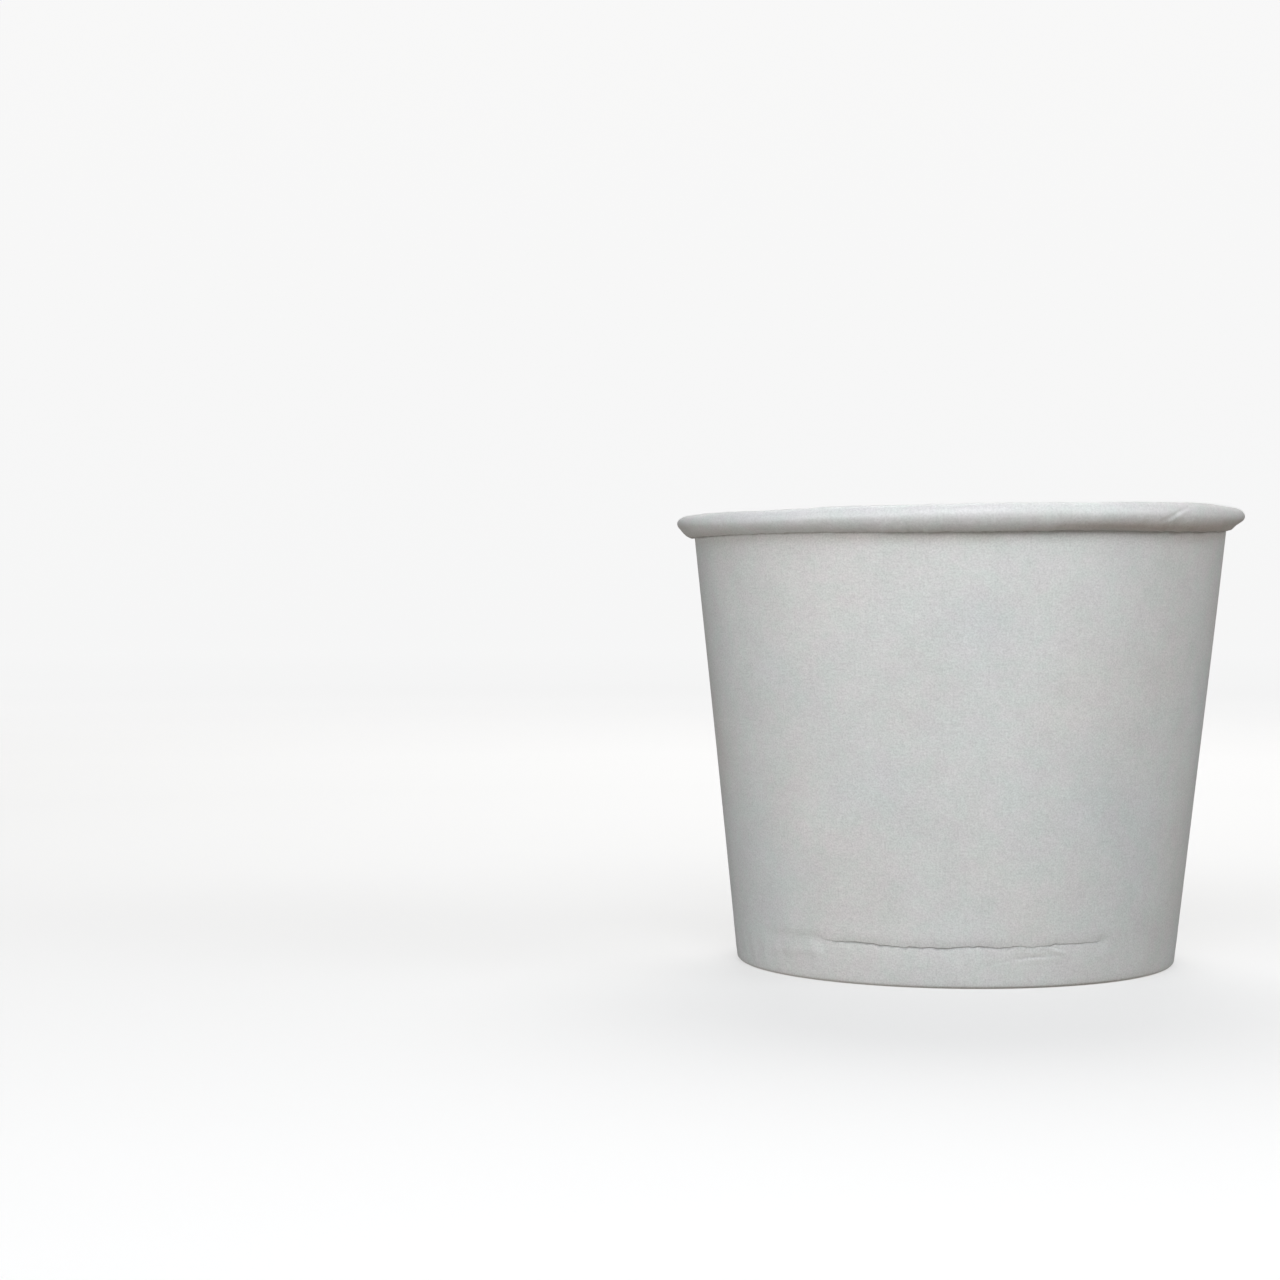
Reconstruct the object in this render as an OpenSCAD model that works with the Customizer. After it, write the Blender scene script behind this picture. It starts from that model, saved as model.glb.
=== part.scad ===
// Paper ice cream cup.
// A wrapped wall sheet with a rolled rim and a hemmed foot, and a drawn base
// disc whose skirt is held between the wall and the hem.
// Millimetres, +Z up. The origin is on the cup's axis, at the level it stands on.

/* [Cup] */
// Outer diameter over the rolled rim
rim_d = 96; // [95:0.25:97]
// Overall height
cup_h = 77; // [72:0.5:82]
// Outer diameter of the wall, carried down to the table
foot_d = 74; // [71:0.5:76]
// Outer diameter of the wall just under the roll
neck_d = 89.8; // [89.2:0.1:90.4]

/* [Board] */
// Thickness of the wall sheet
wall_t = 0.40; // [0.3:0.02:0.44]
// Thickness of the base sheet
base_t = 0.32; // [0.24:0.02:0.4]
// Seal between two layers
seal = 0.01; // [0.01:0.005:0.02]

/* [Rolled rim] */
// Height of the roll, from its underside at the wall to its top
roll_h = 4.3; // [4:0.1:4.6]
// Depth of the roll's widest point below its top
roll_mid = 1.9; // [1.8:0.05:2.1]
// Radius over the roll's inner shoulder
shoulder_r = 1.0; // [0.9:0.05:1.2]
// Radius over the roll's outer edge
nose_r = 1.0; // [0.9:0.05:1.2]
// Radius of the roll's flatter upper side
side_r = 3.4; // [3:0.2:5]
// Radius of the roll's nearly straight underside
low_r = 9; // [6:0.5:12]
// Radius of the bend that tucks the sheet's edge up inside the roll
tuck_r = 0.5; // [0.45:0.05:0.6]
// Length of the edge inside the roll, past that bend
tuck_len = 1.4; // [0.8:0.1:1.6]
// Slit between the roll's underside and the wall
roll_gap = 0.10; // [0.06:0.01:0.14]

/* [Foot] */
// Height of the hem's raw edge above the table
hem_h = 6.1; // [5.6:0.1:6.2]
// Width of the flat ring that the cup stands on
ring_w = 0.35; // [0.25:0.05:0.5]
// Radius of the foot's outer edge
foot_r = 1.1; // [1:0.05:1.2]
// Radius of the foot's inner edge
fold_r = 0.5; // [0.48:0.02:0.6]
// Angle between the hem's lower part and its upper part
hem_lean = 20; // [16:1:24]

/* [Base disc] */
// Depth of the recess under the base
recess = 6.9; // [6.8:0.1:8]
// Radius over the disc's edge
disc_r = 0.9; // [0.8:0.05:1]
// Height of the skirt's lower edge above the table
skirt_z = 1.7; // [1.6:0.1:2.4]

/* [Lap seam] */
// Width of the lap at the rim
lap_w = 7; // [5:0.5:9]
// Direction of the seam, seen from above
seam_a = 112; // [90:1:140]
// Steps in which the outer layer climbs over the inner one
climb_n = 4; // [2:1:6]
// Width of each of these steps
climb_w = 0.6; // [0.4:0.05:0.8]

/* [Hidden] */
$fn = 180;

// The section lies in the plane [r, z]. The wall leans outward by lean, out is
// its outward normal there and up runs along it. Its outer face is the line
// out * p = face.
lean = atan((neck_d - foot_d) / 2 / (cup_h - roll_h));
out = [cos(lean), -sin(lean)];
up = [sin(lean), cos(lean)];
face = foot_d / 2 * cos(lean);

// Points along an arc, from angle a0 to angle a1
function arc(c, r, a0, a1, n) =
    [for (i = [0:n]) let (a = a0 + (a1 - a0) * i / n) c + r * [cos(a), sin(a)]];
// Where the lines p * x = a and q * x = b cross
function meet(p, a, q, b) =
    [a * q[1] - b * p[1], b * p[0] - a * q[0]] / (p[0] * q[1] - p[1] * q[0]);
// Where the line out * p = w is at height z
function on_wall(w, z) = [(w + z * sin(lean)) / cos(lean), z];
// The point at the distances d and e from p and q, on the right of the way
// from p to q
function within(p, d, q, e) =
    let (v = q - p, l = norm(v), k = (d * d - e * e + l * l) / (2 * l))
    p + k * v / l + sqrt(d * d - k * k) * [v[1], -v[0]] / l;
// Direction from p to q
function bearing(p, q) = atan2(q[1] - p[1], q[0] - p[0]);
function turned(v) = [for (i = [len(v) - 1:-1:0]) v[i]];

// Rolled rim: the inner shoulder, the nose and the tucked edge are tight arcs,
// and a flatter arc that touches both joins each to the next
half_t = wall_t / 2;
shoulder_c = meet(out, face - wall_t + shoulder_r, [0, 1], cup_h - shoulder_r);
nose_c = [rim_d / 2 - nose_r, cup_h - roll_mid];
tuck_c = meet(out, face + roll_gap + tuck_r, [0, 1], cup_h - roll_h + tuck_r);
top_c = within(shoulder_c, side_r - shoulder_r, nose_c, side_r - nose_r);
low_c = within(nose_c, low_r - nose_r, tuck_c, low_r - tuck_r);

// Foot: the outer edge, the flat ring, the inner edge, and the hem that leans
// back against the skirt
foot_c = meet(out, face - foot_r, [0, 1], foot_r);
fold_c = [foot_c[0] - ring_w, fold_r];
hem_line = face - wall_t - 2 * seal - base_t - half_t;
bend_r = 1.5;
slope = lean + hem_lean;
slope_n = [-cos(slope), sin(slope)];
bend_c = meet(out, hem_line - bend_r, slope_n, slope_n * fold_c + fold_r - half_t + bend_r);

// The sheet's path from the hem's raw edge to the edge inside the roll, moved
// sideways by o
function wall_path(o) = concat(
    [on_wall(hem_line, hem_h) - o * out],
    arc(bend_c, bend_r - o, -lean, -slope, 4),
    arc(fold_c, fold_r - half_t + o, 180 - slope, 270, 10),
    arc(foot_c, foot_r - half_t + o, 270, 360 - lean, 10),
    arc(shoulder_c, shoulder_r - half_t - o, 180 - lean, bearing(top_c, shoulder_c), 10),
    arc(top_c, side_r - half_t - o, bearing(top_c, shoulder_c), bearing(top_c, nose_c), 7),
    arc(nose_c, nose_r - half_t - o, bearing(top_c, nose_c), bearing(low_c, nose_c), 10),
    arc(low_c, low_r - half_t - o, bearing(low_c, nose_c), bearing(low_c, tuck_c), 7),
    arc(tuck_c, tuck_r - half_t - o, bearing(low_c, tuck_c), -180 - lean, 12),
    [tuck_c - (tuck_r - half_t - o) * out + tuck_len * up]);

// A piece of the wall's thickness, between the distances d0 and d1 out from
// its outer face, the heights z0 and z1 and the directions a0 and a1
module strip(d0, d1, z0, z1, a0, a1) {
    rotate([0, 0, a0]) rotate_extrude(angle = a1 - a0)
        polygon([on_wall(face + d0, z0), on_wall(face + d1, z0),
                 on_wall(face + d1, z1), on_wall(face + d0, z1)]);
}

disc_top = recess + base_t;

// Directions of the seam: the outer layer climbs from seam_a on, the inner
// layer's raw edge is at lap_a, and the outer layer's raw edge at end_a
step_a = climb_w / (neck_d / 2) * 180 / PI;
lap_a = seam_a + climb_n * step_a;
end_a = lap_a + lap_w / (neck_d / 2) * 180 / PI;

module side_wall() {
    color([0.95, 0.95, 0.93]) difference() {
        union() {
            rotate_extrude() polygon(concat(wall_path(half_t), turned(wall_path(-half_t))));
            // the outer layer, which climbs over the inner one's edge in steps;
            // each step starts in the one below it
            for (k = [1:climb_n])
                strip(-wall_t * (0.3 + 0.3 * k / climb_n), wall_t * k / climb_n,
                      foot_r + 0.5 - 0.2 * k / climb_n, cup_h - roll_h - 0.4 + 0.1 * k / climb_n,
                      seam_a + (k - 1) * step_a,
                      k == climb_n ? end_a : seam_a + (k + 0.4) * step_a);
        }
        // the hollow beside the inner layer's raw edge
        for (k = [1:climb_n])
            strip(-wall_t * (1.2 + 0.3 * k / climb_n), -wall_t + wall_t * k / climb_n + 0.02,
                  disc_top + 0.3 - 0.1 * k / climb_n, cup_h - roll_h - 0.7 + 0.1 * k / climb_n,
                  seam_a + (k - 0.8) * step_a,
                  k == climb_n ? lap_a : seam_a + (k + 0.4) * step_a);
    }
}

// Base disc: a flat plate whose edge is drawn down into a skirt
disc_face = face - wall_t - seal;
disc_c = meet(out, disc_face - disc_r, [0, 1], disc_top - disc_r);

module base_disc() {
    color([0.94, 0.94, 0.92]) rotate_extrude() polygon(concat(
        [[0, recess], [0, disc_top]],
        arc(disc_c, disc_r, 90, -lean, 10),
        [on_wall(disc_face, skirt_z), on_wall(disc_face - base_t, skirt_z)],
        arc(disc_c, disc_r - base_t, -lean, 90, 10)));
}

side_wall();
base_disc();
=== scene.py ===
import math

import bpy
import numpy as np
from mathutils import Matrix, Vector


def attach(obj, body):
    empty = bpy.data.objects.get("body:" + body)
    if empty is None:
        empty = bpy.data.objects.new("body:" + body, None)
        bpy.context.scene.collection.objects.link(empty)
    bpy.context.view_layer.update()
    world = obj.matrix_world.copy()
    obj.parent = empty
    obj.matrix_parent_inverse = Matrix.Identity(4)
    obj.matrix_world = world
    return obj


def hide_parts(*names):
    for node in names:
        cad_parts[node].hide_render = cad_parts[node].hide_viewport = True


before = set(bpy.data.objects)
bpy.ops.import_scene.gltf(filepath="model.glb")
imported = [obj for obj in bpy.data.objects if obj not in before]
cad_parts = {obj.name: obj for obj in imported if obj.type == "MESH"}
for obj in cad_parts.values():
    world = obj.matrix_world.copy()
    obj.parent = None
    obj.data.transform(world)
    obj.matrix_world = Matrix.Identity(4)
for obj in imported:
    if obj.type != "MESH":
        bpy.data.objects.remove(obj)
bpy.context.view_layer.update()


# ---------------------------------------------------------------- the section

rim_d, cup_h, foot_d, neck_d = 96.0, 76.5, 74.0, 89.8
wall_t, base_t, seal = 0.40, 0.32, 0.01
roll_h, roll_mid, shoulder_r, nose_r, side_r, low_r = 4.3, 1.75, 1.0, 1.7, 2.4, 3.2
tuck_r, tuck_len, roll_gap = 0.60, 1.4, 0.10
hem_h, ring_w, foot_r, fold_r, hem_lean, bend_r = 6.1, 0.65, 0.8, 0.5, 20.0, 1.5
recess, disc_r, skirt_z = 6.9, 0.9, 1.7
seam_a, climb_n, climb_w, lap_w = 112.0, 4, 0.6, 7.0

half_t = wall_t / 2
step_a = math.degrees(climb_w / (neck_d / 2))
lap_a = seam_a + climb_n * step_a
end_a = lap_a + math.degrees(lap_w / (neck_d / 2))

lean = math.degrees(math.atan((neck_d - foot_d) / 2 / (cup_h - roll_h)))


def direction(a):
    a = np.radians(a)
    return np.stack([np.cos(a), np.sin(a)], -1)


def meet(p, a, q, b):
    return np.array([a * q[1] - b * p[1], b * p[0] - a * q[0]]) / (p[0] * q[1] - p[1] * q[0])


def within(p, d, q, e):
    v = q - p
    l = np.linalg.norm(v)
    k = (d * d - e * e + l * l) / (2 * l)
    return p + k * v / l + math.sqrt(d * d - k * k) * np.array([v[1], -v[0]]) / l


def bearing(p, q):
    return math.degrees(math.atan2(q[1] - p[1], q[0] - p[0]))


out, up, level = direction(-lean), direction(90 - lean), np.array([0.0, 1.0])
face = foot_d / 2 * math.cos(math.radians(lean))


def on_wall(w, z):
    return np.array([(w + z * math.sin(math.radians(lean))) / math.cos(math.radians(lean)), z])


shoulder_c = meet(out, face - wall_t + shoulder_r, level, cup_h - shoulder_r)
nose_c = np.array([rim_d / 2 - nose_r, cup_h - roll_mid])
tuck_c = meet(out, face + roll_gap + tuck_r, level, cup_h - roll_h + tuck_r)
top_c = within(shoulder_c, side_r - shoulder_r, nose_c, side_r - nose_r)
low_c = within(nose_c, low_r - nose_r, tuck_c, low_r - tuck_r)
foot_c = meet(out, face - foot_r, level, foot_r)
fold_c = np.array([foot_c[0] - ring_w, fold_r])
hem_line = face - wall_t - 2 * seal - base_t - half_t
slope = lean + hem_lean
slope_n = np.array([-math.cos(math.radians(slope)), math.sin(math.radians(slope))])
bend_c = meet(out, hem_line - bend_r, slope_n, slope_n @ fold_c + fold_r - half_t + bend_r)


class Path:
    """The middle line of a folded sheet, in the plane [r, z], by its length u.
    Its normal points to the right of the way along it."""

    def __init__(self):
        self.parts, self.ends = [], [0.0]

    def line(self, a, b):
        d = b - a
        l = np.linalg.norm(d)
        self.parts.append(("line", a, d / l))
        self.ends.append(self.ends[-1] + l)

    def arc(self, c, r, a0, a1):
        self.parts.append(("arc", c, r, a0, a1))
        self.ends.append(self.ends[-1] + r * math.radians(abs(a1 - a0)))

    def at(self, u):
        p, n = np.zeros(u.shape + (2,)), np.zeros(u.shape + (2,))
        for k, part in enumerate(self.parts):
            lo, hi = self.ends[k], self.ends[k + 1]
            m = (u >= lo) if k == len(self.parts) - 1 else (u >= lo) & (u < hi)
            if k == 0:
                m = u < hi
            t = u[m] - lo
            if part[0] == "line":
                p[m] = part[1] + t[:, None] * part[2]
                n[m] = np.array([part[2][1], -part[2][0]])
            else:
                _, c, r, a0, a1 = part
                v = direction(a0 + (a1 - a0) * t / (hi - lo))
                p[m] = c + r * v
                n[m] = v if a1 > a0 else -v
        return p, n


path = Path()
bend_0, bend_1 = bend_c + bend_r * out, bend_c + bend_r * direction(-slope)
path.line(on_wall(hem_line, hem_h), bend_0)
path.arc(bend_c, bend_r, -lean, -slope)
fold_m, foot_m = fold_r - half_t, foot_r - half_t
path.line(bend_1, fold_c + fold_m * direction(180 - slope))
path.arc(fold_c, fold_m, 180 - slope, 270)
path.line(fold_c + fold_m * direction(270), foot_c + foot_m * direction(270))
path.arc(foot_c, foot_m, 270, 360 - lean)
path.line(foot_c + foot_m * out, shoulder_c - (shoulder_r - half_t) * out)
b1, b2 = bearing(top_c, shoulder_c), bearing(top_c, nose_c)
b3, b4 = bearing(low_c, nose_c), bearing(low_c, tuck_c)
path.arc(shoulder_c, shoulder_r - half_t, 180 - lean, b1)
path.arc(top_c, side_r - half_t, b1, b2)
path.arc(nose_c, nose_r - half_t, b2, b3)
path.arc(low_c, low_r - half_t, b3, b4)
path.arc(tuck_c, tuck_r - half_t, b4, -180 - lean)
path.line(tuck_c - (tuck_r - half_t) * out, tuck_c - (tuck_r - half_t) * out + tuck_len * up)
HEM, BEND, SLOPE, FOLD, RING, FOOT, WALL, SHOULDER, TOP, NOSE, LOW, TUCK, END = range(13)
u_of = path.ends
u_wall, cos_l = u_of[WALL], math.cos(math.radians(lean))
z_wall = (foot_c + foot_m * out)[1]


def u_at(z):
    """The path length at which the wall's middle line is at height z."""
    return u_wall + (z - z_wall) / cos_l


# ------------------------------------------------- small irregular movements

def smooth(x, lo, hi):
    t = np.clip((x - lo) / (hi - lo), 0, 1)
    return t * t * (3 - 2 * t)


def waves(seed, phi, v, around, along, n=24):
    """Irregular waves of about unit height, closed around the cup. around is
    the range of waves per turn, along the range of waves per millimetre."""
    rng = np.random.RandomState(seed)
    total = np.zeros(np.broadcast(phi, v).shape)
    for _ in range(n):
        k = rng.randint(around[0], around[1] + 1)
        q = rng.uniform(along[0], along[1]) * rng.choice([-1, 1])
        a = rng.uniform(0.6, 1.0)
        total += a * np.cos(np.radians(k * phi) + 2 * np.pi * (q * v + rng.uniform()))
    return total / math.sqrt(n / 3)


# Each line gives a direction around the cup, in degrees to the right of its
# front, a height and a depth.
CREASE = np.array([
    (-56, 6.60, 0), (-50, 6.60, .10), (-44, 6.78, .12), (-39, 6.95, .14), (-36, 7.00, .18), (-34.3, 6.92, .25),
    (-33, 6.76, .40), (-31.5, 6.74, .52), (-30, 6.68, .70), (-27.2, 6.69, .80), (-24.5, 6.80, 1.0),
    (-21.8, 6.71, 1.0), (-19.2, 6.65, .92), (-18, 6.53, 1.0), (-16.7, 6.45, .85), (-15.4, 6.48, .80),
    (-12.9, 6.37, .75), (-11.7, 6.34, .85), (-10.5, 6.44, 1.0), (-9.3, 6.45, 1.0), (-8, 6.39, .85),
    (-5.6, 6.47, .85), (-4.4, 6.41, 1.0), (-2.6, 6.35, 1.15), (-.8, 6.43, .90), (.4, 6.56, .80),
    (3.9, 6.73, .85), (6.9, 6.70, 1.0), (8.7, 6.63, .75), (11.2, 6.44, .85), (12.4, 6.52, .80),
    (14.8, 6.73, .65), (16.1, 6.78, .45), (18.6, 6.54, .55), (19.9, 6.58, .50), (21.2, 6.70, .38),
    (22.5, 6.67, .50), (23.8, 6.70, .78), (25.1, 6.90, .72), (27.8, 6.87, .55), (29.2, 6.81, .50),
    (32, 6.82, .60), (35, 6.86, .58), (37, 6.88, .45), (38.2, 7.00, .25), (40, 7.06, .08), (43, 7.00, 0)])
FOLD_2 = np.array([
    (6, 3.55, 0), (8.5, 3.95, .20), (10.5, 4.24, .30), (13, 4.62, .50), (15.4, 4.89, .85), (18, 5.05, 1.1),
    (20.5, 5.11, 1.05), (23, 5.16, .50), (26, 5.20, .15), (28, 5.28, 0)])
RIDGE = np.array([(22.0, 6.46, 0), (23.2, 6.32, .9), (25.3, 5.95, 1.3), (27.2, 5.62, 1.0), (28.6, 5.42, 0)])
# How much brownish painted shade lies on the roll's underside (second) and
# on the wall's top just under it (third), by the direction
SHADE_UNDER_ROLL = np.array([
    (-120, .10, .5), (-90, .05, .7), (-58, 0, .8), (-35, .03, .6), (-20, .20, 1.0), (-8, .30, 1.1), (4, .26, 1.1),
    (12, .30, .5), (20, .42, .35), (34, .52, .35), (48, .52, .7), (57, .46, 1.3), (75, .30, 1.2), (100, .15, .7), (130, .10, .5)])
# The roll isn't equally tall all round: how far its top and its lower edge lie
# above their mean, in mm
ROLL = np.array([
    (-110, 0, 0), (-80, -.04, -.04), (-68, -.08, 0), (-55, -.22, .10), (-42, -.30, .20), (-33, -.22, .18), (-24, -.08, .08),
    (-14, 0, .05), (-4, .08, .04), (8, .12, .04), (17, .10, .07), (26, -.05, .10), (33, .05, .06), (42, .12, .06),
    (50, .12, .02), (58, 0, 0), (68, -.12, .15), (84, -.05, .55), (100, 0, .42), (128, 0, 0)])


def front(phi):
    """Degrees to the right of the cup's front, from -180 to 180."""
    return (phi + 90.0 + 180.0) % 360.0 - 180.0


def along(line, th):
    return (np.interp(th, line[:, 0], line[:, 1]),
            np.interp(th, line[:, 0], line[:, 2], left=0, right=0))


def eased(th, line):
    """Values that run smoothly from one direction of a line to the next."""
    th = np.asarray(th, float)
    k = np.clip(np.searchsorted(line[:, 0], th) - 1, 0, len(line) - 2)
    t = smooth((th - line[k, 0]) / (line[k + 1, 0] - line[k, 0]), 0, 1)
    return [line[k, c] + (line[k + 1, c] - line[k, c]) * t for c in range(1, line.shape[1])]


def crease_at(th):
    """The crease's height and depth in a direction: its line is finely jagged."""
    z, d = along(CREASE, th)
    jag = .026 * waves(61, th, th * 0, (60, 150), (0, 0)) + .022 * waves(62, th, th * 0, (150, 260), (0, 0))
    return z + jag * smooth(d, .1, .6), d


def profile(w, points):
    x, y = zip(*points)
    return np.interp(w, x, y, left=0, right=0)


def wall_out(phi, z):
    """How far the wall's printed side stands out of its cone, in mm, and how
    much painted shade lies along its creases there, from 0 to 1."""
    th = front(phi)
    zc, dc = crease_at(th)
    sharp = smooth(dc, 0.15, 0.45)
    w = z - zc
    # the wall gives way above the seal: it bulges over the line, and lies
    # back a little under it
    cut = profile(w, [(-3.0, 0), (-2.0, -.020), (-1.0, -.075), (-.45, -.125), (-.16, -.150), (-.06, -.215), (.02, -.270),
                      (.07, -.262), (.15, -.165), (.24, -.130), (.55, -.075), (1.0, -.005), (1.45, .035), (2.1, .035), (3.4, 0)])
    soft = profile(w, [(-3.2, 0), (-2.3, .050), (-1.2, -.030), (-.3, -.085), (.2, -.080), (.8, -.020), (1.4, .040), (2.2, .040), (3.4, 0)])
    d = dc * (sharp * cut + (1 - sharp) * soft * 8.5)
    # painted shade along the crease's sharp line, darkening it as its groove's shadow would
    painted_shade = dc * sharp * profile(w, [(-.24, 0), (-.08, 1), (.11, 1), (.27, 0)])
    # the short second fold
    z2, d2 = along(FOLD_2, th)
    w = z - z2
    d += d2 * profile(w, [(-1.1, 0), (-.55, .010), (-.22, -.025), (0, -.125), (.20, -.050), (.7, -.005), (1.1, 0)])
    # painted shade along the second fold too
    painted_shade = np.maximum(painted_shade, .40 * d2 * profile(w, [(-.25, 0), (0, 1), (.25, 0)]))
    # a small ridge under the crease
    z3, d3 = along(RIDGE, th)
    d += d3 * profile(z - z3, [(-.60, 0), (-.16, .065), (0, .100), (.14, .060), (.36, -.030), (.6, 0)])
    # the band where wall, skirt and hem are pressed together
    band = smooth(z, 1.2, 2.6) * (1 - smooth(z, 5.6, 7.4))
    d += band * (.020 * waves(11, phi, z, (20, 90), (.02, .12)) + .015)
    # the wall's own slow waves
    d += smooth(z, 2, 12) * (1 - smooth(z, 66, 72)) * .035 * waves(12, phi, z, (2, 9), (0, .018))
    return d, painted_shade


def at_sides(th):
    """1 at the cup's left and right sides, 0 in front and behind."""
    return smooth(abs(th), 52, 80) * (1 - smooth(abs(th), 108, 135))


def roll_move(phi, u):
    """Movement of the roll's section, in mm: along r and along z."""
    grow = smooth(u, u_of[SHOULDER] - 1.5, u_of[NOSE])
    tail = smooth(u, u_of[NOSE], u_of[TUCK])
    top, low = eased(front(phi), ROLL)
    sag = at_sides(front(phi)) * np.sin(np.pi * np.clip((u - u_of[SHOULDER]) / (u_of[LOW] + .6 - u_of[SHOULDER]), 0, 1))
    dr = grow * .04 * waves(21, phi, u * 0, (2, 11), (0, 0)) * (1 - .6 * tail) + .13 * sag ** 3
    dz = -np.where(front(phi) > 0, .31, .38) * sag + grow * (.03 * waves(22, phi, u * 0, (5, 17), (0, 0)) + top * (1 - tail) + low * tail)
    dz += tail * (.035 * waves(23, phi, u * 0, (25, 80), (0, 0)) + .022 * waves(24, phi, u * 0, (90, 190), (0, 0)))
    return dr, dz


def roll_out(phi, u):
    """How far the roll's skin stands out, in mm: the fine ripples that the
    curl leaves in the board, and one short pinch in front on the right."""
    on = smooth(u, u_of[SHOULDER] - .5, u_of[TOP] + .6) * (1 - smooth(u, u_of[TUCK], u_of[TUCK] + .5))
    low = smooth(u, u_of[TOP] + 1.2, u_of[LOW] + .4)
    d = on * (.006 + .016 * low) * waves(31, phi, u, (60, 230), (.05, .5), 40)
    d += on * .012 * waves(32, phi, u, (12, 50), (.02, .15))
    th = front(phi)
    # the pinch runs from under the nose up over it, leaning right
    a = (u_of[LOW] + .64 - u) / (u_of[LOW] + .64 - u_of[NOSE] - .82)
    t = th - (43.5 + 3.0 * a + 4.3 * a * a)
    ends = smooth(a, -.10, .20) * (1 - smooth(a, .90, 1.25))
    d += ends * (.052 * np.exp(-((t - .7) / 1.3) ** 2) - .118 * np.exp(-((t + 1.0) / 1.0) ** 2))
    # at both sides the curl is pressed flatter underneath
    b = np.clip((u - u_of[NOSE] - .3) / (u_of[TUCK] + .3 - u_of[NOSE]), 0, 1)
    d -= at_sides(th) * np.where(th > 0, .42 * np.sin(np.pi * b ** 1.6) ** 2, .30 * np.sin(np.pi * b) ** 2)
    # the board is doubled where the lap runs through the roll
    s = (phi - lap_a + 180) % 360 - 180
    d += on * .05 * smooth(s, -6, -1) * (1 - smooth(s, 7, 13))
    return d


def settle(xyz):
    """The whole cup's slight departure from true, for both pieces alike: it
    leans to its right, where its rim is also higher and its roll taller."""
    x, y, z = xyz.T
    phi, t = np.degrees(np.arctan2(y, x)), np.clip(z / (cup_h - roll_h), 0, 1)
    in_roll = np.clip((z - cup_h + roll_h) / roll_h, 0, 1)
    k = (.05 * t ** 2 * np.cos(np.radians(2 * (phi - 75))) + .03 * t * np.cos(np.radians(3 * (phi - 70)))) / 48.0
    dz = (.0070 * t ** 3 + .0076 * in_roll) * x
    return np.stack([x * (1 + k) + .006 * (z - 38), y * (1 + k), z + dz], 1) * .9948


# --------------------------------------------------------------- making meshes

def spread(lo, hi, n):
    return list(np.linspace(lo, hi, n + 1)[:-1])


def make_object(name, verts, faces, slots, materials, sharp, values):
    """A mesh object. slots gives each face's material, sharp the edges that
    stay hard, and values the attributes on its points."""
    mesh = bpy.data.meshes.new(name)
    mesh.from_pydata((verts / 1000.0).tolist(), [], faces)
    mesh.polygons.foreach_set("use_smooth", np.ones(len(mesh.polygons), bool))
    mesh.polygons.foreach_set("material_index", np.array(slots, np.int32))
    for m in materials:
        mesh.materials.append(m)
    hard = set(tuple(sorted(e)) for e in sharp)
    ends = np.zeros(len(mesh.edges) * 2, np.int32)
    mesh.edges.foreach_get("vertices", ends)
    flags = np.array([tuple(sorted(e)) in hard for e in ends.reshape(-1, 2).tolist()], bool)
    mesh.attributes.new("sharp_edge", "BOOLEAN", "EDGE").data.foreach_set("value", flags)
    for key, value in values.items():
        if value.ndim == 2:
            mesh.attributes.new(key, "FLOAT_VECTOR", "POINT").data.foreach_set("vector", value.astype(np.float32).ravel())
        else:
            mesh.attributes.new(key, "FLOAT", "POINT").data.foreach_set("value", value.astype(np.float32))
    mesh.validate()
    mesh.update()
    ob = bpy.data.objects.new(name, mesh)
    bpy.context.scene.collection.objects.link(ob)
    return ob


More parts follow.
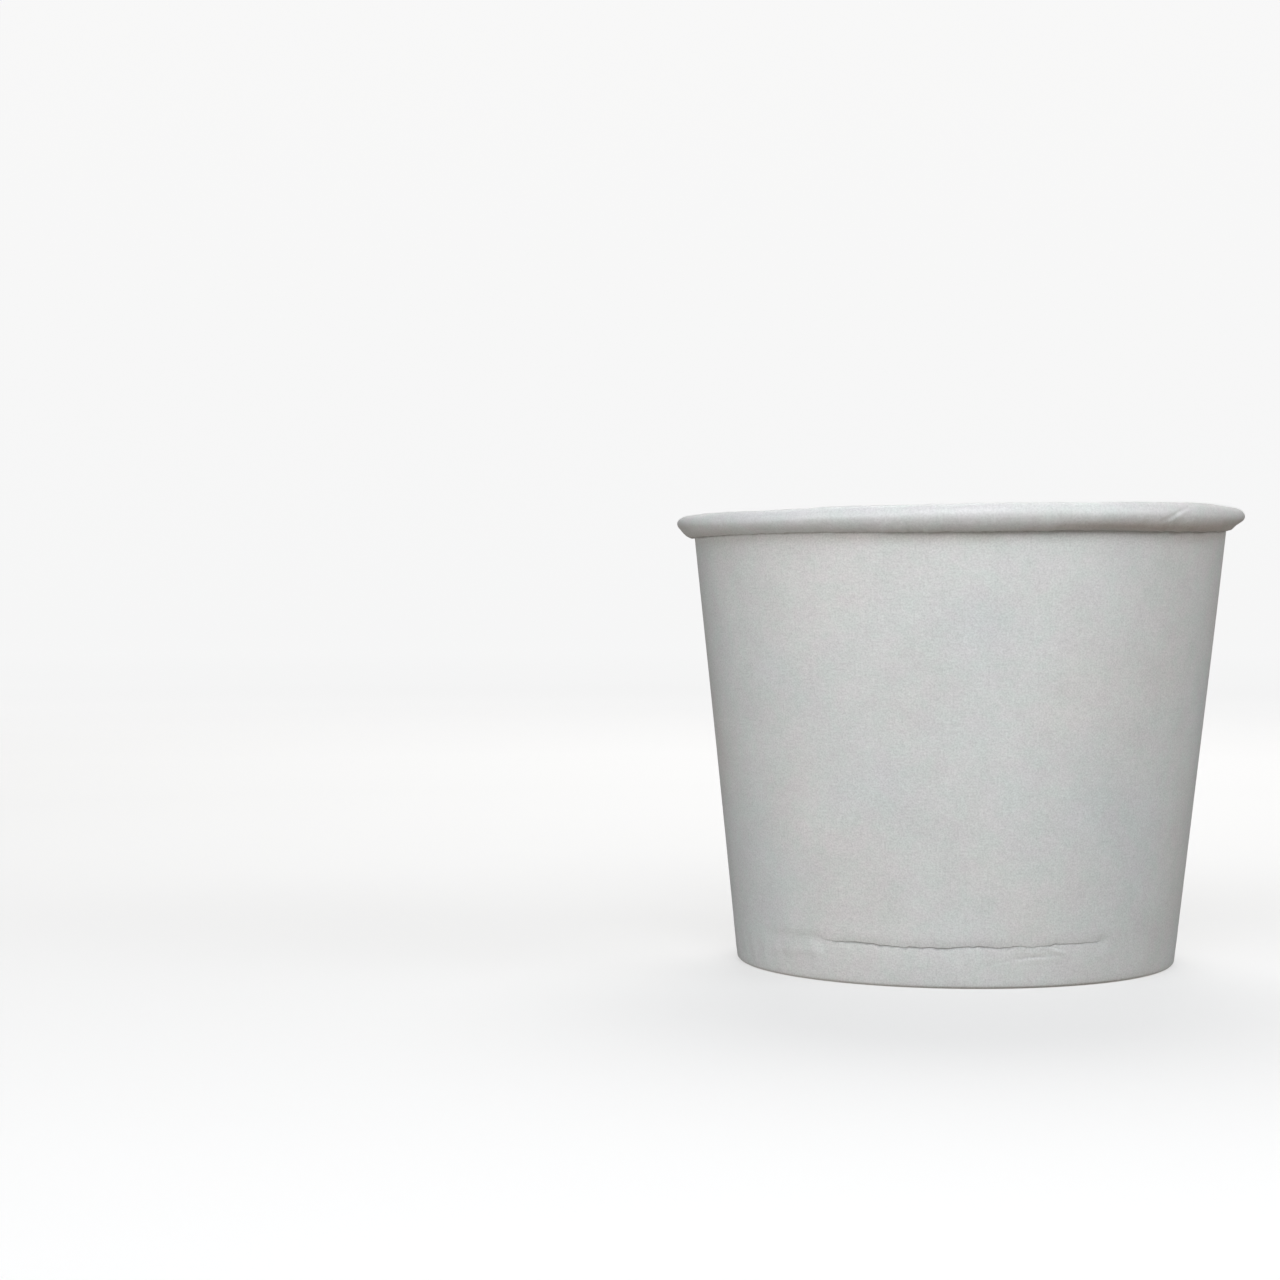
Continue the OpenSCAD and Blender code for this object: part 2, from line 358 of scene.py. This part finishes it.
def build_wall(materials):
    # columns around the cup, from the inner raw edge to the outer one
    cols = np.array(
        spread(lap_a, end_a, 12) + [end_a, end_a + .3, end_a + .8] + spread(end_a + 1.5, 213, 76)
        + spread(213, 329, 258) + spread(329, 360 + seam_a - 1, 122) + [360 + seam_a - 1]
        + spread(360 + seam_a, 360 + lap_a, 8) + spread(360 + lap_a, 360 + end_a, 9) + [360 + end_a])
    # rows along the sheet, on its outer side; the rows from 5.2 to 9.5 mm
    # follow the crease
    heights = [1.45, 1.8, 2.2, 2.6, 3.0, 3.3, 3.6, 3.85, 4.1, 4.35, 4.6, 4.85, 5.1, 5.35, 5.6, 5.8, 6.0, 6.15, 6.28, 6.38,
               6.46, 6.53, 6.60, 6.65, 6.70, 6.76, 6.85, 6.98, 7.15, 7.4, 7.7, 8.1, 8.6, 9.3, 10.2, 11.4, 13, 15.2, 18,
               21.5, 25.5, 30, 35, 40, 45, 50, 55, 59.5, 63, 65.8, 68, 69.4, 70.3, 70.9, 71.4, 71.8, 72.1, 72.5]
    zs = np.array(heights)
    right = (spread(u_of[HEM], u_of[BEND], 3) + spread(u_of[BEND], u_of[SLOPE], 3) + spread(u_of[SLOPE], u_of[FOLD], 3)
             + spread(u_of[FOLD], u_of[RING], 7) + spread(u_of[RING], u_of[FOOT], 1) + spread(u_of[FOOT], u_of[WALL], 8)
             + list(u_at(zs)) + [u_of[SHOULDER] - 1.2]
             + spread(u_of[SHOULDER], u_of[TOP], 3) + spread(u_of[TOP], u_of[NOSE], 2) + spread(u_of[NOSE], u_of[LOW], 4)
             + spread(u_of[LOW], u_of[TUCK], 3) + spread(u_of[TUCK], u_of[END], 4) + [u_of[END], u_of[END + 1]])
    left = (spread(u_of[END + 1], u_of[END], 1) + spread(u_of[END], u_of[TUCK], 7) + spread(u_of[TUCK], u_of[LOW], 12)
            + spread(u_of[LOW], u_of[NOSE], 12) + spread(u_of[NOSE], u_of[TOP], 11) + spread(u_of[TOP], u_of[SHOULDER], 9)
            + spread(u_of[SHOULDER], u_at(8.2), 17) + [u_at(8.2), u_at(7.4), u_at(4), u_of[WALL]]
            + [(u_of[FOOT] + u_of[WALL]) / 2, u_of[FOOT], u_of[RING], (u_of[FOLD] + u_of[RING]) / 2,
               u_of[FOLD], u_of[SLOPE], u_of[BEND], u_of[HEM]])
    nr, nl = len(right), len(left)
    u = np.tile(np.array(right + left), (len(cols), 1))
    side = np.array([1.0] * nr + [-1.0] * nl)
    phi = np.tile(cols[:, None], (1, nr + nl))
    zc, _ = crease_at(front(cols))
    first = right.index(list(u_at(zs))[0])
    z_rows = np.tile(zs, (len(cols), 1))
    hold = smooth(z_rows, 4.2, 5.9) * (1 - smooth(z_rows, 7.6, 10.4))
    u[:, first:first + len(zs)] = u_at(z_rows + hold * (zc[:, None] - 6.60))

    # how far the two layers of the lap are pressed into one thickness
    z_mid = path.at(u)[0][..., 1]
    at_foot = np.where(u < u_at(20), 1 - smooth(z_mid, 1.0, 6.5), 0)
    at_roll = smooth(u, u_at(70.2), u_at(71.9))
    press = np.maximum(at_foot, at_roll)
    e = seal
    base = phi % 360.0
    inner = np.where(phi < end_a + 1.5, 1 - smooth(phi, end_a, end_a + 1.2), 0)
    climb = smooth(phi, 360 + seam_a, 360 + lap_a)
    lo = np.full(u.shape, -half_t)
    hi = half_t - inner * press * (half_t + e / 2)
    lo_out = (half_t + e) * (1 - press) + e / 2 * press
    hi_out = (3 * half_t + e) * (1 - press) + half_t * press
    lo = lo + climb * (lo_out + half_t)
    hi = np.where(climb > 0, half_t + climb * (hi_out - half_t), hi)
    o = np.where(side > 0, hi, lo)

    mid, normal = path.at(u)
    # outer face: the wall's marks; the other face: the roll's ripples
    on_face = (u >= u_of[WALL]) & (u < u_of[SHOULDER] - 3) & (side > 0)
    d_wall, painted_shade = wall_out(phi, z_mid)
    fade = smooth(u, u_of[WALL], u_of[WALL] + .8) * (1 - smooth(u, u_at(71), u_at(72.4)))
    o = o + np.where(on_face, d_wall * fade, 0)
    # the creases' painted shade, on the outer face only
    painted_shade = np.where(on_face, painted_shade * fade, 0)
    in_roll = (u > u_of[SHOULDER] - 1.5) & (side < 0)
    o = o - np.where(in_roll, roll_out(phi, u), 0)
    # painted shade in the angle under the roll: a little darker there, and brownish
    roll_underside_shade, wall_top_shade = eased(front(phi), SHADE_UNDER_ROLL)
    below = cup_h - roll_h + eased(front(phi), ROLL)[1] - z_mid
    on_wall_top = (side > 0) & (u < u_of[SHOULDER]) & (z_mid > 60)
    shade_under_roll = np.where(on_wall_top, wall_top_shade * profile(below, [(-3, .03), (0, .05), (.45, .24), (.9, .22), (1.3, .14), (1.8, .05), (2.7, 0)]), 0)
    start = u_of[TUCK] - 1.0 + (u_of[LOW] + .1 - u_of[TUCK] + 1.0) * smooth(abs(front(phi) - 48), 40, 20)
    shade_under_roll = np.where(in_roll, roll_underside_shade * smooth(u, start - .3, start + 1.6) * (1 - .9 * smooth(u, u_of[TUCK] - .3, u_of[TUCK] + .3)), shade_under_roll)
    shade_under_roll = shade_under_roll * (1 + .05 * waves(63, phi, u * 0, (10, 60), (0, 0)))
    p = mid + o[..., None] * normal
    dr, dz = roll_move(phi, u)
    p[..., 0] += dr
    p[..., 1] += dz

    a = np.radians(phi)
    verts = np.stack([p[..., 0] * np.cos(a), p[..., 0] * np.sin(a), p[..., 1]], -1).reshape(-1, 3)
    verts = settle(verts)
    nc, m = u.shape
    faces, slots = [], []
    OUTER, INNER, CUT = 0, 1, 2
    for i in range(m):
        k = (i + 1) % m
        slot = OUTER if i < nr - 1 else CUT if i in (nr - 1, m - 1) else INNER
        for j in range(nc - 1):
            faces.append((j * m + i, (j + 1) * m + i, (j + 1) * m + k, j * m + k))
        slots += [slot] * (nc - 1)
    # raw edges at both ends, as strips between the two sides' rows
    sharp = []
    for j in (0, nc - 1):
        r, l, tri = 0, m - 1, []
        while r < nr - 1 or l > nr:
            ur = u[j, r + 1] if r < nr - 1 else np.inf
            ul = u[j, l - 1] if l > nr else np.inf
            if ur <= ul:
                tri.append((j * m + r, j * m + r + 1, j * m + l))
                r += 1
            else:
                tri.append((j * m + r, j * m + l - 1, j * m + l))
                l -= 1
        faces += tri if j == 0 else [t[::-1] for t in tri]
        slots += [CUT] * len(tri)
        sharp += [(j * m + i, j * m + (i + 1) % m) for i in range(m)]
    for i in (0, nr - 1, nr, m - 1):
        sharp += [(j * m + i, (j + 1) * m + i) for j in range(nc - 1)]
    sheet = np.stack([np.radians(phi) * 41.0, u, side * 40.0 + 0 * u], -1).reshape(-1, 3)
    # the attributes carry the painted shade along the creases and under the roll
    ob = make_object("side_wall_board", verts, faces, slots, materials, sharp, {"sheet": sheet, "painted_shade": painted_shade.ravel(), "shade_under_roll": shade_under_roll.ravel()})
    return ob


def build_base(materials):
    disc_top = recess + base_t
    disc_face = face - wall_t - seal
    disc_c = meet(out, disc_face - disc_r, level, disc_top - disc_r)
    n = 480
    phi = np.linspace(0, 360, n, endpoint=False)
    flat = [3, 6.5, 10, 13.5, 17, 20.5, 23.5, 26, 28, 29.8, 31.2, 32.4, 33.4, 34.2]
    # the section as rows of [r, z], from the top's middle to the underside's
    top = [(r, disc_top) for r in flat] + [tuple(disc_c + disc_r * direction(a)) for a in np.linspace(90, -lean, 10)]
    top += [tuple(on_wall(disc_face, z)) for z in (5.4, 4.2, 3.0, skirt_z)]
    low = [tuple(on_wall(disc_face - base_t, z)) for z in (skirt_z, 3.0, 4.2, 5.4)]
    low += [tuple(disc_c + (disc_r - base_t) * direction(a)) for a in np.linspace(-lean, 90, 8)]
    low += [(r, recess) for r in flat[::-1]]
    nt, nl = len(top), len(low)
    rows = np.array(top + low)
    r = np.tile(rows[:, 0], (n, 1))
    z = np.tile(rows[:, 1], (n, 1))
    ph = np.tile(phi[:, None], (1, nt + nl))
    # a slight crown in the middle, and slow waves towards the edge
    inside = 1 - smooth(r, 30.5, 34.6)
    z += inside * (.16 * (1 - (r / 33) ** 2) + .05 * (r / 33) * waves(41, ph, r, (2, 6), (0, .02)))
    # puckers where the blank was drawn over the edge, one side of the corner
    # only inward, so that the skirt stays clear of the wall
    pucker = waves(42, ph, r * 0, (84, 96), (0, 0), 8)
    upper = np.arange(nt + nl)[None, :] < nt
    at_corner = smooth(r, 32.6, 34.6) * (1 - smooth(-z, -6.75, -6.2))
    z += np.where(upper, at_corner * .022 * pucker, at_corner * .015 * pucker)
    a = np.radians(ph)
    grid = np.stack([r * np.cos(a), r * np.sin(a), z], -1).reshape(-1, 3)
    m = nt + nl
    poles = np.array([[0, 0, disc_top + .16], [0, 0, recess + .16]])
    verts = settle(np.concatenate([grid, poles]))
    faces, slots, sharp = [], [], []
    COATED, PLAIN, CUT = 0, 1, 2
    for j in range(n):
        k = (j + 1) % n
        faces.append((n * m, j * m, k * m))
        slots.append(COATED)
        for i in range(m - 1):
            faces.append((j * m + i, j * m + i + 1, k * m + i + 1, k * m + i))
            slots.append(COATED if i < nt - 1 else CUT if i == nt - 1 else PLAIN)
        faces.append((j * m + m - 1, n * m + 1, k * m + m - 1))
        slots.append(PLAIN)
        sharp += [(j * m + nt - 1, k * m + nt - 1), (j * m + nt, k * m + nt)]
    ob = make_object("base_disc_board", verts, faces, slots, materials, sharp, {})
    return ob


# ------------------------------------------------------------------ materials

class Nodes:
    def __init__(self, name):
        self.material = bpy.data.materials.new(name)
        self.material.use_nodes = True
        self.tree = self.material.node_tree
        self.tree.nodes.clear()
        self.shader = self.add("ShaderNodeBsdfPrincipled")
        output = self.add("ShaderNodeOutputMaterial")
        self.link(self.shader.outputs[0], output.inputs["Surface"])

    def add(self, kind, **settings):
        node = self.tree.nodes.new(kind)
        for key, value in settings.items():
            setattr(node, key, value)
        return node

    def link(self, a, b):
        self.tree.links.new(a, b)

    def noise(self, vector, scale, detail=2.0, rough=0.5, distort=0.0):
        node = self.add("ShaderNodeTexNoise", noise_dimensions="3D")
        node.inputs["Scale"].default_value = scale
        node.inputs["Detail"].default_value = detail
        node.inputs["Roughness"].default_value = rough
        node.inputs["Distortion"].default_value = distort
        self.link(vector, node.inputs["Vector"])
        return node.outputs["Fac"]

    def stretch(self, vector, scale, turn=0.0):
        node = self.add("ShaderNodeMapping")
        node.inputs["Scale"].default_value = scale
        node.inputs["Rotation"].default_value = (0, 0, turn)
        self.link(vector, node.inputs["Vector"])
        return node.outputs["Vector"]

    def ramp(self, value, *stops):
        node = self.add("ShaderNodeValToRGB")
        while len(node.color_ramp.elements) > len(stops):
            node.color_ramp.elements.remove(node.color_ramp.elements[-1])
        while len(node.color_ramp.elements) < len(stops):
            node.color_ramp.elements.new(1.0)
        for el, (pos, colour) in zip(node.color_ramp.elements, stops):
            el.position = pos
            el.color = (*colour, 1.0) if len(colour) == 3 else colour
        self.link(value, node.inputs["Fac"])
        return node.outputs["Color"]

    def mix(self, kind, fac, a, b):
        node = self.add("ShaderNodeMix", data_type="RGBA", blend_type=kind)
        for socket, value in ((node.inputs[0], fac), (node.inputs[6], a), (node.inputs[7], b)):
            if isinstance(value, (int, float)):
                socket.default_value = value
            elif isinstance(value, tuple):
                socket.default_value = (*value, 1.0)
            else:
                self.link(value, socket)
        return node.outputs[2]

    def math(self, kind, a, b=None, c=None):
        node = self.add("ShaderNodeMath", operation=kind)
        for socket, value in zip(node.inputs, (a, b, c)):
            if value is None:
                continue
            if isinstance(value, (int, float)):
                socket.default_value = value
            else:
                self.link(value, socket)
        return node.outputs[0]

    def span(self, value, lo, hi):
        node = self.add("ShaderNodeMapRange")
        node.inputs["To Min"].default_value = lo
        node.inputs["To Max"].default_value = hi
        self.link(value, node.inputs["Value"])
        return node.outputs["Result"]


def board(name, white, warm, cool, rough, coat, grain, speck, painted_shade=False, sheet=True):
    """White cup board: slow mottling, fibres, fine grain and a faint skin."""
    m = Nodes(name)
    if sheet:
        where = m.add("ShaderNodeAttribute", attribute_name="sheet").outputs["Vector"]
    else:
        coords = m.add("ShaderNodeTexCoord").outputs["Object"]
        where = m.stretch(coords, (1000, 1000, 1000))
    slow = m.noise(where, .034, 2.0, .55)
    tint = m.ramp(slow, (.36, warm), (.50, white), (.66, cool))
    spots = m.noise(where, .25, 2.0, .55)
    tint = m.mix("MULTIPLY", 1.0, tint, m.ramp(spots, (.36, (1.0, .980, .991)), (.50, (.991, .992, .990)), (.64, (.970, .996, .982))))
    cloud = m.noise(where, .16, 3.0, .6)
    fibre = m.noise(m.stretch(where, (.55, 2.2, .55), .35), 1.0, 3.0, .6, .6)
    fibre_2 = m.noise(m.stretch(where, (2.0, .6, .6), -.5), 1.0, 3.0, .6, .6)
    fine = m.noise(where, 3.4, 2.0, .6)
    middle = m.noise(where, 1.3, 2.0, .5)
    shade = m.math("ADD", m.math("MULTIPLY", cloud, .15), m.math("MULTIPLY", fine, .50))
    shade = m.math("ADD", shade, m.math("MULTIPLY", m.math("ADD", fibre, fibre_2), .10))
    shade = m.math("ADD", shade, m.math("MULTIPLY", middle, .15))
    colour = m.mix("MULTIPLY", 1.0, tint, m.ramp(shade, (.36, (1 - speck,) * 3), (.64, (1.0, 1.0, 1.0))))
    # painted shade: darker along the creases, and brownish in the angle under the roll
    if painted_shade:
        crease_shade = m.add("ShaderNodeAttribute", attribute_name="painted_shade").outputs["Fac"]
        colour = m.mix("MULTIPLY", crease_shade, colour, (.605, .595, .605))
        shade_under_roll = m.add("ShaderNodeAttribute", attribute_name="shade_under_roll").outputs["Fac"]
        colour = m.mix("MULTIPLY", shade_under_roll, colour, (.65, .54, .47))
    m.link(colour, m.shader.inputs["Base Color"])
    m.link(m.span(m.math("ADD", m.math("MULTIPLY", fine, .5), m.math("MULTIPLY", cloud, .5)), rough - .08, rough + .10),
           m.shader.inputs["Roughness"])
    m.shader.inputs["Specular IOR Level"].default_value = .5
    m.shader.inputs["Coat Weight"].default_value = coat
    m.shader.inputs["Coat Roughness"].default_value = .38
    height = m.math("ADD", m.math("MULTIPLY", m.math("ADD", fibre, fibre_2), .5), m.math("MULTIPLY", fine, .55))
    height = m.math("ADD", height, m.math("MULTIPLY", middle, .8))
    bump = m.add("ShaderNodeBump")
    bump.inputs["Strength"].default_value = 1.0
    bump.inputs["Distance"].default_value = grain / 1000.0
    m.link(height, bump.inputs["Height"])
    m.link(bump.outputs["Normal"], m.shader.inputs["Normal"])
    return m.material


def cut_board(name, sheet=True):
    """A raw edge: bare, warmer fibres in layers, with no skin."""
    m = Nodes(name)
    coords = m.add("ShaderNodeTexCoord").outputs["Object"]
    where = m.stretch(coords, (1000, 1000, 1000))
    fibre = m.noise(m.stretch(where, (1, 1, .35)), 5.0, 4.0, .65, .5)
    colour = m.ramp(fibre, (.30, (.62, .58, .51)), (.55, (.77, .745, .69)), (.8, (.83, .815, .775)))
    m.link(colour, m.shader.inputs["Base Color"])
    m.link(m.span(fibre, .82, .95), m.shader.inputs["Roughness"])
    m.shader.inputs["Specular IOR Level"].default_value = .3
    bump = m.add("ShaderNodeBump")
    bump.inputs["Strength"].default_value = 1.0
    bump.inputs["Distance"].default_value = .00006
    m.link(fibre, bump.inputs["Height"])
    m.link(bump.outputs["Normal"], m.shader.inputs["Normal"])
    return m.material


WHITE, WARM, COOL = (.908, .924, .917), (.922, .918, .908), (.896, .923, .928)
outer = board("board_outer_face", WHITE, WARM, COOL, .56, .10, .034, .26, painted_shade=True)
inner = board("board_coated_face", (.905, .914, .909), (.914, .908, .899), (.895, .912, .916), .47, .22, .022, .22, painted_shade=True)
under = board("base_plain_face", (.902, .904, .892), (.910, .900, .884), (.896, .906, .900), .62, .04, .036, .26, sheet=False)
coated = board("base_coated_face", (.903, .909, .903), (.911, .903, .892), (.893, .907, .909), .45, .24, .022, .22, sheet=False)
raw = cut_board("board_cut_edge")


# --------------------------------------------------------------------- pieces

wall = build_wall([outer, inner, raw])
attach(wall, "root")
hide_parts("side_wall")

base = build_base([coated, under, raw])
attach(base, "root")
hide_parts("base_disc")


# --------------------------------------------------------------------- stage

def build_stage():
    """A round pale floor that turns up into a plain wall far behind."""
    radius, bend, top, n = 5.0, 1.6, 3.2, 96
    rows = [(.25, 0), (.7, 0), (1.5, 0), (2.6, 0), (radius - bend, 0)]
    rows += [(radius - bend + bend * math.sin(a), bend - bend * math.cos(a)) for a in np.radians(np.arange(10, 91, 10))]
    rows += [(radius, top)]
    verts = [(0, 0, 0)] + [(r * math.cos(a), r * math.sin(a), z) for r, z in rows for a in np.linspace(0, 2 * np.pi, n, endpoint=False)]
    faces = [(0, 1 + j, 1 + (j + 1) % n) for j in range(n)]
    for i in range(len(rows) - 1):
        a, b = 1 + i * n, 1 + (i + 1) * n
        faces += [(a + j, b + j, b + (j + 1) % n, a + (j + 1) % n) for j in range(n)]
    mesh = bpy.data.meshes.new("stage_floor")
    mesh.from_pydata(verts, [], faces)
    mesh.polygons.foreach_set("use_smooth", np.ones(len(mesh.polygons), bool))
    ob = bpy.data.objects.new("stage_floor", mesh)
    bpy.context.scene.collection.objects.link(ob)
    m = Nodes("stage_pale")
    m.shader.inputs["Base Color"].default_value = (.35, .35, .35, 1)
    m.shader.inputs["Roughness"].default_value = .9
    m.shader.inputs["Specular IOR Level"].default_value = 0
    # the lamps reach only the middle, so the glow makes up for it further out
    coords = m.add("ShaderNodeTexCoord").outputs["Object"]
    away = m.add("ShaderNodeVectorMath", operation="LENGTH")
    m.link(coords, away.inputs[0])
    glow = m.ramp(m.math("MULTIPLY", away.outputs["Value"], .5),
                  *((r / 2, (g, g, g)) for r, g in ((0, .56), (.08, .56), (.20, .60), (.30, .605), (.40, .605), (.50, .63), (.60, .66), (.70, .70), (.80, .75), (1.0, .83), (1.3, .88), (2.0, .90))))
    m.link(glow, m.shader.inputs["Emission Color"])
    m.shader.inputs["Emission Strength"].default_value = 1.0
    mesh.materials.append(m.material)
    ob.visible_diffuse = False
    ob.visible_glossy = False
    ob.visible_shadow = False
    return ob


def area_light(name, place, target, size, power, colour=(1, 1, 1)):
    data = bpy.data.lights.new(name, "AREA")
    data.shape, data.size = "DISK", size
    data.energy, data.color = power, colour
    ob = bpy.data.objects.new(name, data)
    bpy.context.scene.collection.objects.link(ob)
    ob.location = place
    ob.rotation_euler = (Vector(target) - Vector(place)).to_track_quat("-Z", "Y").to_euler()
    ob.visible_camera = False
    return ob


stage = build_stage()
aim = (0, 0, .04)
area_light("soft_front_low", (0, -.589, .315), aim, .35, .21, (.985, .995, 1.02))
area_light("soft_front_near", (0, -.344, .281), aim, .25, .60, (.985, 1.00, 1.015))
area_light("soft_front_high", (0, -.386, .500), aim, .35, .37, (.985, .995, 1.02))
area_light("soft_left", (-.905, -.905, .266), aim, .60, 5.46, (.985, 1.005, 1.01))
area_light("soft_right", (.908, -.243, .382), aim, .50, 2.69, (.98, 1.005, 1.015))
area_light("soft_right_near", (.525, -.303, .390), aim, .35, .29, (.98, 1.005, 1.015))
behind = area_light("soft_behind", (0, .514, .653), aim, .50, 4.6, (1.02, 1.00, .975))
behind.visible_glossy = False

# a dim surrounding, brighter and warmer from below, as from a pale table
world = bpy.data.worlds.new("studio")
bpy.context.scene.world = world
world.use_nodes = True
tree = world.node_tree
tree.nodes.clear()
sky = tree.nodes.new("ShaderNodeBackground")
place = tree.nodes.new("ShaderNodeTexCoord")
height = tree.nodes.new("ShaderNodeSeparateXYZ")
share = tree.nodes.new("ShaderNodeMapRange")
share.inputs["From Min"].default_value, share.inputs["From Max"].default_value = -1, 1
fade = tree.nodes.new("ShaderNodeValToRGB")
for k, (where, colour) in enumerate(((.24, (.246, .216, .188)), (.32, (.108, .100, .092)), (.49, (.108, .100, .092)), (.52, (.058, .060, .062)))):
    stop = fade.color_ramp.elements[k] if k < 2 else fade.color_ramp.elements.new(where)
    stop.position, stop.color = where, (*colour, 1)
tree.links.new(place.outputs["Generated"], height.inputs[0])
tree.links.new(height.outputs["Z"], share.inputs["Value"])
tree.links.new(share.outputs["Result"], fade.inputs["Fac"])
tree.links.new(fade.outputs["Color"], sky.inputs["Color"])
tree.links.new(sky.outputs[0], tree.nodes.new("ShaderNodeOutputWorld").inputs["Surface"])


# --------------------------------------------------------------------- camera

D, HC = 0.47892, 0.06440
YAW, PITCH, TURN = math.radians(6.443), math.radians(1.233), math.radians(0.041)
forward = Vector((-math.sin(YAW) * math.cos(PITCH), math.cos(YAW) * math.cos(PITCH), -math.sin(PITCH)))
side_v = Vector((math.cos(YAW), math.sin(YAW), 0))
up_v = side_v.cross(forward)
right_v = side_v * math.cos(TURN) + up_v * math.sin(TURN)
top_v = -side_v * math.sin(TURN) + up_v * math.cos(TURN)
cam_data = bpy.data.cameras.new("camera")
cam_data.sensor_width, cam_data.lens = 36.0, 78.75
cam_data.clip_start, cam_data.clip_end = .02, 60
cam = bpy.data.objects.new("camera", cam_data)
bpy.context.scene.collection.objects.link(cam)
cam.matrix_world = Matrix.Translation((0, -D, HC)) @ Matrix((right_v, top_v, -forward)).transposed().to_4x4()
bpy.context.scene.camera = cam

view = bpy.context.scene.view_settings
view.view_transform, view.look, view.exposure, view.gamma = "Standard", "None", 0.0, 1.0
